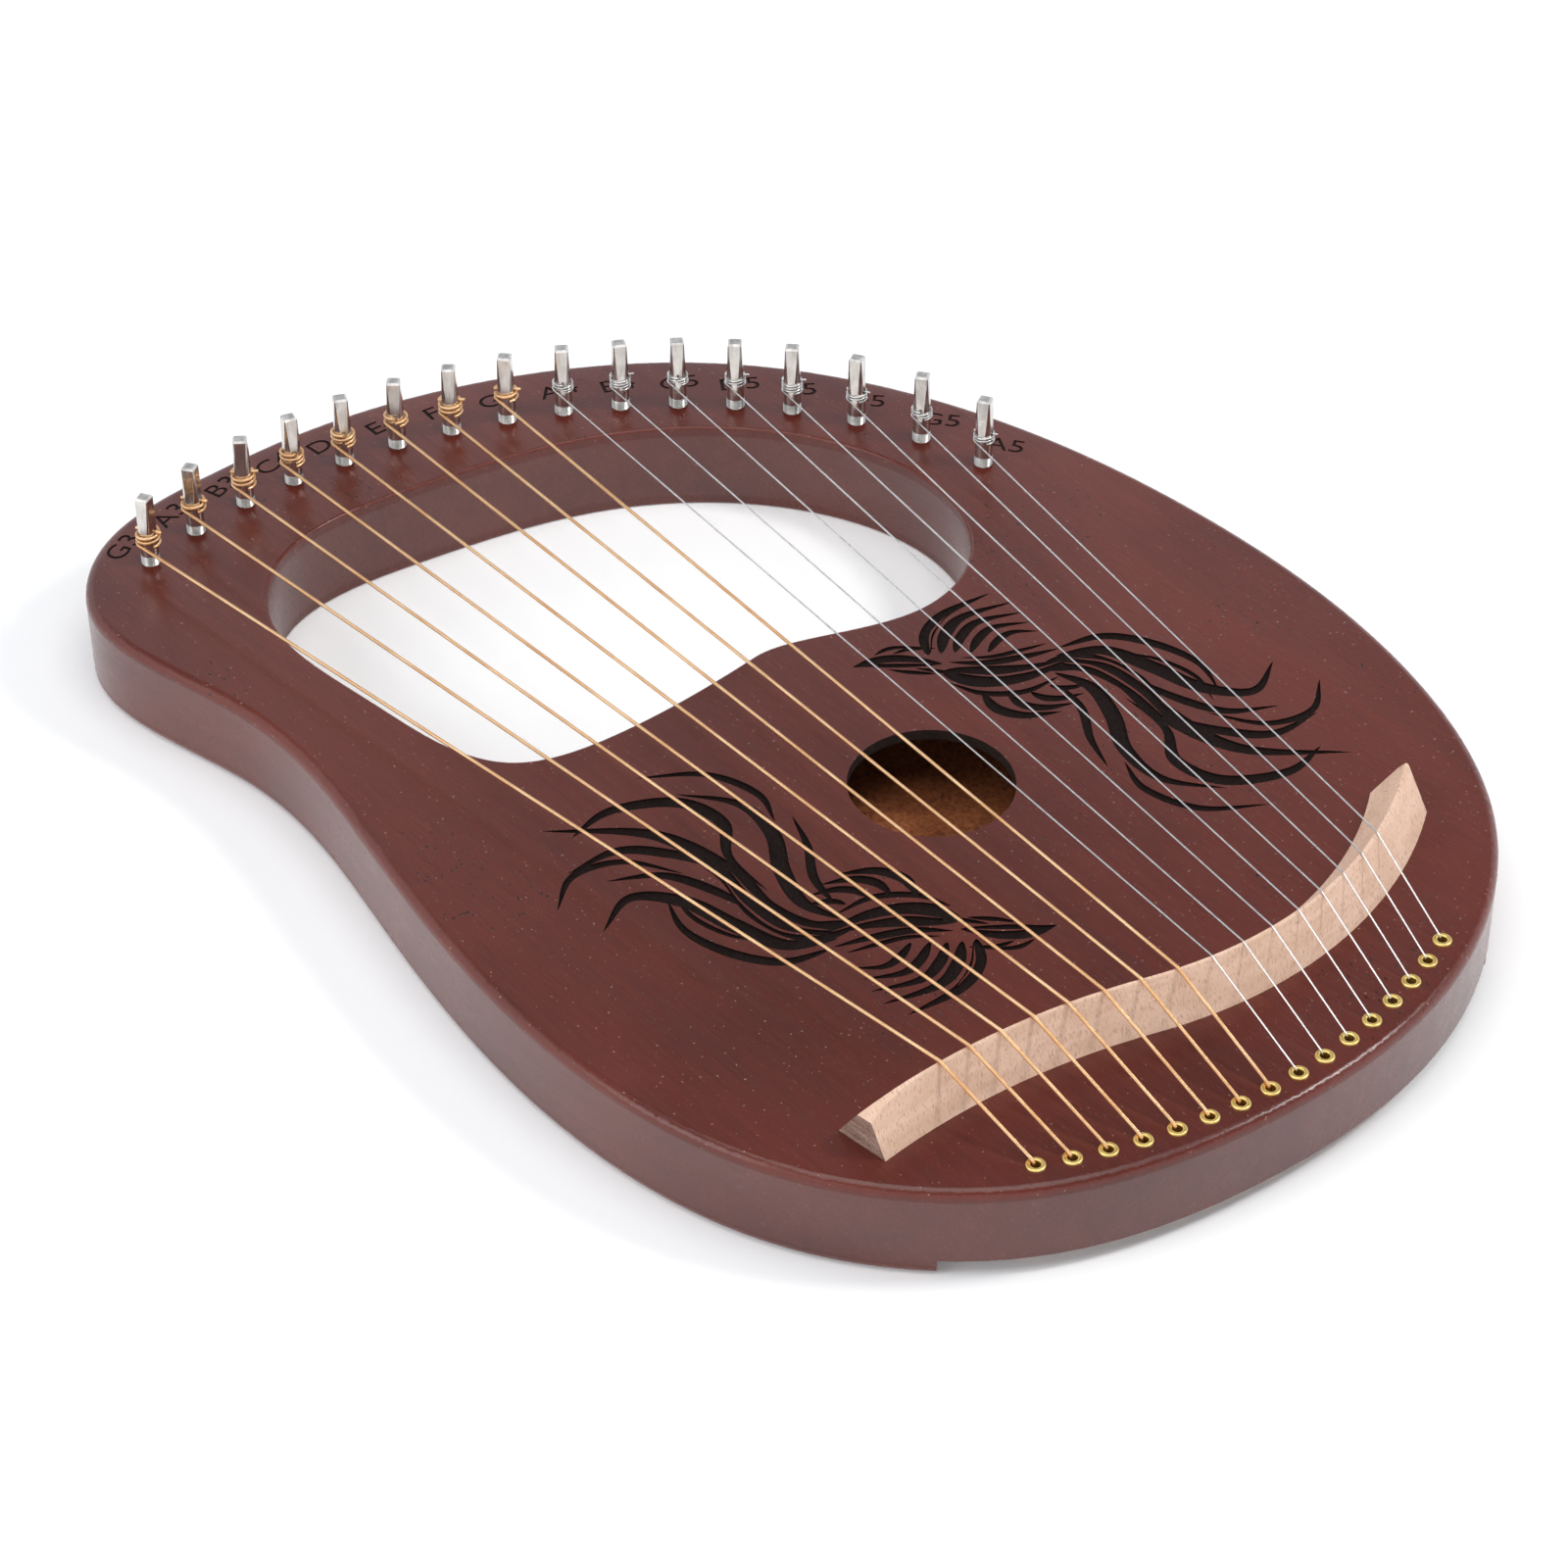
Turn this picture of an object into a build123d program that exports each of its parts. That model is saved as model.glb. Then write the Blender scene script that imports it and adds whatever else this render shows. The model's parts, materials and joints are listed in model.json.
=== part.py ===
from build123d import *
import math
import os

# A sixteen-string lyre harp, lying on its back. Millimetres.
# Origin: centre of the outline, on the back face. +Z is out of the soundboard, +Y from the tail to the yoke.
# Strings and pins are counted from the bass side, -X, to the treble side, +X.

os.makedirs("parts", exist_ok=True)

# ---------------------------------------------------------------- driving dimensions
BODY_DEPTH = 25.4
FRONT_THICKNESS = 3.0
BACK_THICKNESS = 3.0
EDGE_RADIUS = 2.5
WINDOW_EDGE_RADIUS = 0.8

OUTLINE = [
    (-50, 182), (25, 169), (80, 133), (115, 75), (130, -4), (122, -88), (95, -142), (46, -175),
    (-22, -181), (-79, -164), (-116, -124), (-130, -64), (-120, 23), (-113, 90), (-118, 152), (-101, 172),
]
WINDOW = [
    (-1, 23), (-48, 21), (-73, 28), (-86, 71), (-83, 121), (-68, 136),
    (-20, 139), (35, 124), (70, 94), (84, 52), (74, 24), (44, 11),
]
# the sound box, 10 mm or so inside the outline and 8 mm or so outside the window
CAVITY = [
    (-104, 12), (-60, 11), (-8, 12), (44, 0), (70, 6), (94, 30), (108, 28), (119, -10),
    (112, -80), (87, -135), (45, -157), (0, -165), (-50, -158), (-92, -134), (-118, -80), (-112, -5),
]

SOUND_HOLE = (-1.0, -44.4)
SOUND_HOLE_DIAMETER = 41.6

NOTES = ["g3", "a3", "b3", "c4", "d4", "e4", "f4", "g4", "a4", "b4", "c5", "d5", "e5", "f5", "g5", "a5"]
WOUND_STRINGS = 8
WOUND_DIAMETER = 0.9
PLAIN_DIAMETER = 0.45

# the line that the tuning pins stand on, and the gaps along it
PIN_LINE = [(-95, 157), (-45, 163), (15, 149.5), (67, 115), (101, 49)]
PIN_GAPS = 2 * [17.2] + 10 * [15.7] + [18.3, 19.4, 20.1]
# which way each string's cut end points out of its pin, degrees about +Z
STRING_END_ANGLES = [300, 305, 323, 75, 65, 50, 320, 315, 53, 332, 55, 317, 315, 300, 38, 300]

PIN_DIAMETER = 5.0
PIN_NECK_DIAMETER = 4.8
PIN_CLEARANCE = 0.05
PIN_BURIED = 17.0
PIN_PROUD = 20.6
PIN_THREAD_PROUD = 2.7
PIN_TIP_INSET = 1.0
PIN_TIP_HEIGHT = 1.5
NECK_STEP = 0.2
THREAD_PITCH = 0.5
THREAD_DEPTH = 0.25
HEAD_START = 6.6
HEAD_FLATS_LOW = 4.7
HEAD_FLATS_HIGH = 3.6
HEAD_CHAMFER = 0.5
STRING_HOLE_HEIGHT = 10.0
STRING_HOLE_DIAMETER = 1.5
STRING_END_LENGTH = 1.2
WRAP_CLEARANCE = 0.1
WRAP_DEGREES = 285.0
# the turns that go round with the pin climb to its string hole, and the string's own turn is under them
TURNS_ON_PIN = [2, 1, 2, 2, 2, 1, 2, 1, 2, 3, 2, 2, 3, 2, 2, 2]
TURNS_APART = 0.4
COIL_END_DROP = 0.06
TURN_GAP = 0.2

# the eyelets stand on a circle
EYELET_CENTRE = (-3.9, -25.8)
EYELET_CIRCLE_RADIUS = 150.0
EYELET_FIRST_ANGLE = -117.3
EYELET_STEP_ANGLE = 3.24
EYELET_BORE = 2.3
EYELET_BARREL = 3.2
EYELET_FLANGE = 4.7
EYELET_FLANGE_THICKNESS = 0.6
EYELET_LENGTH = 5.0
EYELET_RIM_RADIUS = 0.45
STRING_BORE = 3.3
STRING_CLEARANCE = 0.05
# a bend's tangent length over its radius, for the string's turn of about 70 degrees over an eyelet's rim
RIM_BEND_SHARE = 0.7
RIM_LIFT = 0.1

# the recess for the ball ends, open at the tail's edge
RECESS_DEPTH = 4.6
RECESS_INNER_RADIUS = 146.4
RECESS_OUTER_RADIUS = 186.4
RECESS_MARGIN_ANGLE = 8.5
RECESS_CORNER = 3.0
BALL_DIAMETER = 3.8
BALL_LENGTH = 4.0

# the bridge's crest is two arcs that meet at a common tangent
BRIDGE_HEIGHT = 11.5
BRIDGE_TAIL_HALF = 8.1
BRIDGE_YOKE_HALF = 6.2
BRIDGE_CREST_RADIUS = 0.6
BASS_ARC_CENTRE = (-79.5, -316.5)
BASS_ARC_RADIUS = 186.8
TREBLE_ARC_CENTRE = (15.8, -33.6)
BRIDGE_BASS_END = -97.6
BRIDGE_TREBLE_END = 82.5
BRIDGE_END_CUT = 9.0
BRIDGE_END_TRIM = 1.0
BRIDGE_FALL_LENGTH = 19.0
BRIDGE_FALL_DROP = 3.0

BRACE_WIDTH = 8.0
BRACE_HEIGHT = 9.0
BRACE_TIP_HEIGHT = 3.0
BRACE_TAPER = 22.0
UPPER_BRACE = (-100.0, 106.0, -11.0)
LOWER_BRACE = (-104.0, 100.0, -100.0)

# ---------------------------------------------------------------- levels and radii that follow
TOP = BODY_DEPTH
FRONT_UNDERSIDE = BODY_DEPTH - FRONT_THICKNESS
CREST = TOP + BRIDGE_HEIGHT
NECK_RADIUS = PIN_NECK_DIAMETER / 2
PIN_BORE = PIN_DIAMETER + 2 * PIN_CLEARANCE
ARC_CENTRES_APART = math.dist(BASS_ARC_CENTRE, TREBLE_ARC_CENTRE)
TREBLE_ARC_RADIUS = ARC_CENTRES_APART - BASS_ARC_RADIUS
ARCS_MEET = tuple(
    a + (b - a) * BASS_ARC_RADIUS / ARC_CENTRES_APART for a, b in zip(BASS_ARC_CENTRE, TREBLE_ARC_CENTRE)
)
# the gap between pieces that only touch, and how far a cut runs past what it cuts
TOUCH = 0.02
OVERRUN = 1.0


def save(name, solid):
    solid.label = name
    export_step(solid, f"parts/{name}.step")


def polar(centre, radius, angle):
    return (
        centre[0] + radius * math.cos(math.radians(angle)),
        centre[1] + radius * math.sin(math.radians(angle)),
    )


def closed_face(points):
    return make_face(Spline(*points, periodic=True))


def slab(face, low, high):
    return extrude(Pos(0, 0, low) * face, high - low)


def post(at, diameter, low, high):
    return Pos(at[0], at[1], (low + high) / 2) * Cylinder(diameter / 2, high - low)


def edges_at(solid, z, inside):
    """The edges of a board's outline (inside=False) or window (inside=True) at height z."""
    level = solid.edges().filter_by(lambda e: abs(e.center().Z - z) < TOUCH)
    ordered = level.sort_by(lambda e: e.length)
    return ordered[:1] if inside else ordered[-1:]


def note_diameter(index):
    return WOUND_DIAMETER if index < WOUND_STRINGS else PLAIN_DIAMETER


def pin_places():
    line = Spline(*PIN_LINE)
    total = sum(PIN_GAPS)
    distances = [sum(PIN_GAPS[:i]) / total for i in range(len(NOTES))]
    return [((line @ t).X, (line @ t).Y) for t in distances]


def eyelet_places():
    angles = [EYELET_FIRST_ANGLE + EYELET_STEP_ANGLE * i for i in range(len(NOTES))]
    return [polar(EYELET_CENTRE, EYELET_CIRCLE_RADIUS, a) for a in angles]


PINS = pin_places()
EYELETS = eyelet_places()
outline = closed_face(OUTLINE)
window = closed_face(WINDOW)


# ---------------------------------------------------------------- body
def recess():
    """Everything outside the recess's inner wall, between its two end walls."""
    first = EYELET_FIRST_ANGLE - RECESS_MARGIN_ANGLE
    last = EYELET_FIRST_ANGLE + EYELET_STEP_ANGLE * (len(NOTES) - 1) + RECESS_MARGIN_ANGLE
    inner = [polar(EYELET_CENTRE, RECESS_INNER_RADIUS, a) for a in (first, (first + last) / 2, last)]
    outer = [polar(EYELET_CENTRE, RECESS_OUTER_RADIUS, a) for a in (first, (first + last) / 2, last)]
    border = [
        ThreePointArc(*inner),
        Line(inner[2], outer[2]),
        ThreePointArc(*reversed(outer)),
        Line(outer[0], inner[0]),
    ]
    face = make_face(border)
    corners = face.vertices().sort_by(lambda v: math.dist((v.X, v.Y), EYELET_CENTRE))[:2]
    return slab(fillet(corners, RECESS_CORNER), -OVERRUN, RECESS_DEPTH)


def front_board():
    board = slab(outline, FRONT_UNDERSIDE, TOP) - slab(window, FRONT_UNDERSIDE - OVERRUN, TOP + OVERRUN)
    board = fillet(edges_at(board, TOP, inside=False), EDGE_RADIUS)
    board = fillet(edges_at(board, TOP, inside=True), WINDOW_EDGE_RADIUS)
    board -= post(SOUND_HOLE, SOUND_HOLE_DIAMETER, FRONT_UNDERSIDE - OVERRUN, TOP + OVERRUN)
    for place in PINS:
        board -= post(place, PIN_BORE, FRONT_UNDERSIDE - OVERRUN, TOP + OVERRUN)
    for place in EYELETS:
        board -= post(place, STRING_BORE, FRONT_UNDERSIDE - OVERRUN, TOP + OVERRUN)
    return board


def core_frame():
    frame = slab(outline, BACK_THICKNESS, FRONT_UNDERSIDE)
    frame -= slab(window, 0, TOP)
    frame -= slab(closed_face(CAVITY), 0, TOP)
    frame -= recess()
    for place in PINS:
        frame -= post(place, PIN_BORE, TOP - PIN_BURIED - OVERRUN, TOP)
    for place in EYELETS:
        frame -= post(place, STRING_BORE, 0, TOP)
    return frame


def back_board():
    board = slab(outline, 0, BACK_THICKNESS) - slab(window, -OVERRUN, BACK_THICKNESS + OVERRUN)
    board = fillet(edges_at(board, 0, inside=False), EDGE_RADIUS)
    board = fillet(edges_at(board, 0, inside=True), WINDOW_EDGE_RADIUS)
    return board - recess()


def brace(from_x, to_x, y):
    """A bar glued under the soundboard, its ends carved down to thin tips."""
    low = FRONT_UNDERSIDE - BRACE_HEIGHT
    tip = FRONT_UNDERSIDE - BRACE_TIP_HEIGHT
    side = Polyline(
        (from_x, 0, FRONT_UNDERSIDE), (from_x, 0, tip), (from_x + BRACE_TAPER, 0, low),
        (to_x - BRACE_TAPER, 0, low), (to_x, 0, tip), (to_x, 0, FRONT_UNDERSIDE), close=True,
    )
    return Pos(0, y + BRACE_WIDTH / 2, 0) * extrude(make_face(side), BRACE_WIDTH, dir=(0, -1, 0))


# ---------------------------------------------------------------- bridge
def crest_line():
    """The crest in plan, from the bass end to the treble end, as two tangent arcs."""
    bass_middle = on_bass_arc((BRIDGE_BASS_END + ARCS_MEET[0]) / 2)
    treble_middle = on_treble_arc((ARCS_MEET[0] + BRIDGE_TREBLE_END) / 2)
    bass_arc = ThreePointArc(on_bass_arc(BRIDGE_BASS_END), bass_middle, ARCS_MEET)
    treble_arc = ThreePointArc(ARCS_MEET, treble_middle, on_treble_arc(BRIDGE_TREBLE_END))
    return Wire([bass_arc, treble_arc])


def on_bass_arc(x):
    rise = math.sqrt(BASS_ARC_RADIUS**2 - (x - BASS_ARC_CENTRE[0]) ** 2)
    return (x, BASS_ARC_CENTRE[1] + rise)


def on_treble_arc(x):
    drop = math.sqrt(TREBLE_ARC_RADIUS**2 - (x - TREBLE_ARC_CENTRE[0]) ** 2)
    return (x, TREBLE_ARC_CENTRE[1] - drop)


def bass_fall():
    """What is carved off above the crest's fall to the bass end. It is an arc, almost level at its start."""
    start_x, start_y = on_bass_arc(BRIDGE_BASS_END + BRIDGE_FALL_LENGTH)
    radius = (BRIDGE_FALL_LENGTH**2 + BRIDGE_FALL_DROP**2) / (2 * BRIDGE_FALL_DROP)
    wide = 6 * BRIDGE_TAIL_HALF
    corner = (Align.MAX, Align.CENTER, Align.MIN)
    above = Pos(start_x, start_y, TOP) * Box(2 * BRIDGE_FALL_LENGTH, wide, 2 * BRIDGE_HEIGHT, align=corner)
    under = Pos(start_x, start_y, CREST + TOUCH - radius) * Rot(90, 0, 0) * Cylinder(radius, 2 * wide)
    return above - under


def bridge():
    path = Pos(0, 0, TOP) * crest_line()
    section_plane = Plane(path @ 0, x_dir=(0, 0, 1), z_dir=path % 0)
    apex = math.atan(BRIDGE_YOKE_HALF / BRIDGE_HEIGHT) + math.atan(BRIDGE_TAIL_HALF / BRIDGE_HEIGHT)
    sharp_height = BRIDGE_HEIGHT + BRIDGE_CREST_RADIUS * (1 / math.sin(apex / 2) - 1)
    corners = [(0, BRIDGE_YOKE_HALF), (sharp_height, 0), (0, -BRIDGE_TAIL_HALF)]
    triangle = make_face(Polyline(*corners, close=True))
    crest = triangle.vertices().sort_by(Axis.X)[-1]
    bar = sweep(section_plane * fillet(crest, BRIDGE_CREST_RADIUS), path=path)
    end_x, end_y = on_treble_arc(BRIDGE_TREBLE_END)
    wide = 6 * BRIDGE_TAIL_HALF
    cut = Rot(0, 0, BRIDGE_END_CUT) * Box(wide, wide, wide, align=(Align.MIN, Align.CENTER, Align.CENTER))
    return bar - Pos(end_x - BRIDGE_END_TRIM, end_y, TOP) * cut - bass_fall()


# ---------------------------------------------------------------- pins
def pin_profile():
    """Half of the pin's turned outline, from its buried tip to its crown. The proud threads are grooves."""
    thread_radius = PIN_DIAMETER / 2
    root_radius = thread_radius - THREAD_DEPTH
    low = TOP - PIN_BURIED
    tip = [(0, low), (thread_radius - PIN_TIP_INSET, low), (thread_radius, low + PIN_TIP_HEIGHT)]
    points = [*tip, (thread_radius, TOP)]
    for turn in range(round(PIN_THREAD_PROUD / THREAD_PITCH)):
        z = TOP + turn * THREAD_PITCH
        points += [(root_radius, z + THREAD_PITCH / 2), (thread_radius, z + THREAD_PITCH)]
    neck_low = points[-1][1] + NECK_STEP
    points += [(NECK_RADIUS, neck_low), (NECK_RADIUS, TOP + PIN_PROUD), (0, TOP + PIN_PROUD)]
    return [(radius, 0, z) for radius, z in points]


def pin_head(start, end):
    """The tapered square that trims the neck: nearly as wide as it at the start, narrow at the crown."""
    low = Pos(0, 0, start) * Rectangle(HEAD_FLATS_LOW, HEAD_FLATS_LOW)
    high = Pos(0, 0, end) * Rectangle(HEAD_FLATS_HIGH, HEAD_FLATS_HIGH)
    return chamfer(loft([low, high]).edges().group_by(Axis.Z)[-1], HEAD_CHAMFER)


def tuning_pin(place, angle):
    blank = revolve(make_face(Polyline(*pin_profile(), close=True)), Axis.Z)
    start = TOP + HEAD_START
    round_part = blank & post((0, 0), 2 * PIN_DIAMETER, 0, start)
    pin = round_part + (blank & pin_head(start, TOP + PIN_PROUD))
    hole = Cylinder(STRING_HOLE_DIAMETER / 2, 2 * PIN_DIAMETER)
    pin -= Pos(0, 0, TOP + STRING_HOLE_HEIGHT) * Rot(0, 90, 0) * hole
    return Pos(*place, 0) * Rot(0, 0, angle) * pin


def turn_pitch(index):
    return note_diameter(index) + TURNS_APART


def first_turn_height(index):
    """Height where the turns that go round with the pin begin. They climb to just under the hole's axis."""
    return TOP + STRING_HOLE_HEIGHT - COIL_END_DROP - TURNS_ON_PIN[index] * turn_pitch(index)


def wrap_height(index):
    """Height of the string's own turn round the pin, below the turns that go round with it."""
    return first_turn_height(index) - note_diameter(index) - TURN_GAP


def winding(index):
    """The last turns of the string, as a coil that climbs to the pin's hole, and the cut end through it."""
    radius = note_diameter(index) / 2
    reach = NECK_RADIUS + TOUCH + radius
    pitch = turn_pitch(index)
    climb = Pos(0, 0, first_turn_height(index)) * Helix(pitch, TURNS_ON_PIN[index] * pitch, reach)
    coil = sweep(Plane(climb @ 0, z_dir=climb % 0) * Circle(radius), path=climb, is_frenet=True)
    end = Pos(reach + radius, 0, TOP + STRING_HOLE_HEIGHT) * Rot(0, -90, 0) * Cylinder(
        radius, 2 * reach + radius + STRING_END_LENGTH, align=(Align.CENTER, Align.CENTER, Align.MIN)
    )
    return Pos(*PINS[index], 0) * Rot(0, 0, STRING_END_ANGLES[index] + 180) * (coil + end)


# ---------------------------------------------------------------- strings
def crest_crossing(start, direction):
    """Where a plan line from the eyelet crosses the crest, on whichever of the two arcs it meets."""
    crossings = []
    arcs = ((BASS_ARC_CENTRE, BASS_ARC_RADIUS, 1), (TREBLE_ARC_CENTRE, TREBLE_ARC_RADIUS, -1))
    for centre, radius, side in arcs:
        from_centre = (start[0] - centre[0], start[1] - centre[1])
        along = from_centre[0] * direction[0] + from_centre[1] * direction[1]
        apart = from_centre[0] ** 2 + from_centre[1] ** 2 - radius**2
        distance = -along + side * math.sqrt(along**2 - apart)
        crossings.append((start[0] + direction[0] * distance, start[1] + direction[1] * distance))
    return crossings[0] if crossings[0][0] < ARCS_MEET[0] else crossings[1]


def string_route(index):
    """The centre line: up from the ball end, over the eyelet's rim and the crest, and round the pin."""
    radius = note_diameter(index) / 2
    wrap_radius = NECK_RADIUS + WRAP_CLEARANCE + radius
    eyelet, pin = EYELETS[index], PINS[index]
    bearing = math.atan2(pin[1] - eyelet[1], pin[0] - eyelet[0])
    bearing += math.asin(wrap_radius / math.dist(eyelet, pin))
    forward = (math.cos(bearing), math.sin(bearing))
    left = Vector(-forward[1], forward[0], 0)

    rim_offset = EYELET_BORE / 2 - radius - STRING_CLEARANCE
    bend = radius + EYELET_FLANGE_THICKNESS
    foot = (eyelet[0] + forward[0] * rim_offset, eyelet[1] + forward[1] * rim_offset)
    crossing = crest_crossing(foot, forward)
    rim = Vector(*foot, TOP + RIM_BEND_SHARE * bend + RIM_LIFT)
    over = Vector(*crossing, CREST + radius + TOUCH)
    axis = Vector(*pin, wrap_height(index))
    touch_point = axis + left * wrap_radius
    run = (touch_point - over).normalized()
    ball = Vector(*foot, RECESS_DEPTH - BALL_DIAMETER)

    def round_pin(degrees):
        turn = math.radians(degrees)
        return axis + (left * math.cos(turn) + run * math.sin(turn)) * wrap_radius

    straight = FilletPolyline(ball, rim, over, touch_point, radius=[bend, BRIDGE_CREST_RADIUS + radius])
    turn = ThreePointArc(touch_point, round_pin(WRAP_DEGREES / 2), round_pin(WRAP_DEGREES))
    return Wire(straight.edges() + turn.edges())


def string(index):
    route = string_route(index)
    section = Plane(route @ 0, z_dir=route % 0) * Circle(note_diameter(index) / 2)
    return sweep(section, path=route)


def eyelet(place):
    bore, barrel, flange = EYELET_BORE / 2, EYELET_BARREL / 2, EYELET_FLANGE / 2
    outline_half = Polyline(
        (bore, 0, TOP - EYELET_LENGTH), (barrel, 0, TOP - EYELET_LENGTH), (barrel, 0, TOP),
        (flange, 0, TOP), (flange, 0, TOP + EYELET_FLANGE_THICKNESS),
        (bore, 0, TOP + EYELET_FLANGE_THICKNESS), close=True,
    )
    ring = revolve(make_face(outline_half), Axis.Z)
    rims = ring.edges().filter_by(lambda e: abs(e.center().Z - TOP - EYELET_FLANGE_THICKNESS) < TOUCH)
    return Pos(*place, 0) * fillet(rims, EYELET_RIM_RADIUS)


def ball_end(index):
    """A short brass barrel across the string, drilled for it."""
    route_foot = string_route(index) @ 0
    tangent = EYELET_FIRST_ANGLE + EYELET_STEP_ANGLE * index + 90
    centre_z = RECESS_DEPTH - BALL_DIAMETER / 2 - STRING_CLEARANCE
    barrel = Rot(0, 0, tangent) * Rot(0, 90, 0) * Cylinder(BALL_DIAMETER / 2, BALL_LENGTH)
    barrel = Pos(route_foot.X, route_foot.Y, centre_z) * barrel
    bore = note_diameter(index) + 2 * TOUCH
    return barrel - post((route_foot.X, route_foot.Y), bore, -OVERRUN, RECESS_DEPTH)


# ---------------------------------------------------------------- build
save("front_board", front_board())
save("core_frame", core_frame())
save("back_board", back_board())
save("brace_upper", brace(*UPPER_BRACE))
save("brace_lower", brace(*LOWER_BRACE))
save("bridge", bridge())
save("eyelets", Compound([eyelet(place) for place in EYELETS]))
save("ball_ends", Compound([ball_end(i) for i in range(len(NOTES))]))
for i, note in enumerate(NOTES):
    save(f"pin_{note}", tuning_pin(PINS[i], STRING_END_ANGLES[i]))
    save(f"winding_{note}", winding(i))
    save(f"string_{note}", string(i))
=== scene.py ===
import json
import math

import bmesh
import bpy
import numpy as np
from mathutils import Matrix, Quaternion, Vector
from mathutils.geometry import delaunay_2d_cdt


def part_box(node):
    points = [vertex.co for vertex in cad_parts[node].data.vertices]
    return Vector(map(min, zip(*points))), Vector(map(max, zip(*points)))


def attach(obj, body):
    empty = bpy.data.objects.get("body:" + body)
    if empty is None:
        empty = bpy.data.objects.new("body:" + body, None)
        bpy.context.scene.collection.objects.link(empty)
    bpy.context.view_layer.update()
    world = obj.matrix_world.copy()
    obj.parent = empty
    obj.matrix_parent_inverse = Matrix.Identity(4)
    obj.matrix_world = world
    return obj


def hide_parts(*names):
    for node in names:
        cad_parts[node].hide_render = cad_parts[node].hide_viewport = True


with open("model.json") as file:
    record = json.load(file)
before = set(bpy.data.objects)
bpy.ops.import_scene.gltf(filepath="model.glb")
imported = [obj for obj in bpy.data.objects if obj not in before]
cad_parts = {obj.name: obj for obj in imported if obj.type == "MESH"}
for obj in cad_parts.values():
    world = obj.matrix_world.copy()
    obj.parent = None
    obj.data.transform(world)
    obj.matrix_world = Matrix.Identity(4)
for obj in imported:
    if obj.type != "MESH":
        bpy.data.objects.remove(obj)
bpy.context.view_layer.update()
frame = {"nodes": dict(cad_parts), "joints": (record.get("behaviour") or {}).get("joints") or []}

# A sixteen-string lyre harp, in metres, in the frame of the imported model.
# Drawing in the plane of the soundboard is in millimetres, and MM turns it into metres.
MM = 0.001

# ---------------------------------------------------------------- what the frame gives
NODES = frame["nodes"]
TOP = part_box("front_board")[1].z
NOTES = [joint["name"].split("_")[1] for joint in frame["joints"]]
PINS = [Vector(joint["pos_m"]) for joint in frame["joints"]]
# the wound strings come first, from the bass end
WOUND_STRINGS = 8
WOUND_NOTES = NOTES[:WOUND_STRINGS]
PLAIN_NOTES = NOTES[WOUND_STRINGS:]

# ---------------------------------------------------------------- engraving, millimetres
ORNAMENT_DEPTH = 0.55
LABEL_DEPTH = 0.3
LABEL_SIZE = 8.2
LABEL_STRETCH = 1.18
LABEL_OFFSET = 10.4
LABEL_FIRST_ANGLE = 26.0
LABEL_STEP_ANGLE = -5.4
LABEL_RESOLUTION = 5
ORNAMENT_CENTRE = (0.4, -50.0)
SOUND_HOLE = (-1.0, -44.4)
SOUND_HOLE_RADIUS = 20.8
RIM_TOLERANCE = 0.2
SAME_POINT = 1e-5

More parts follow.
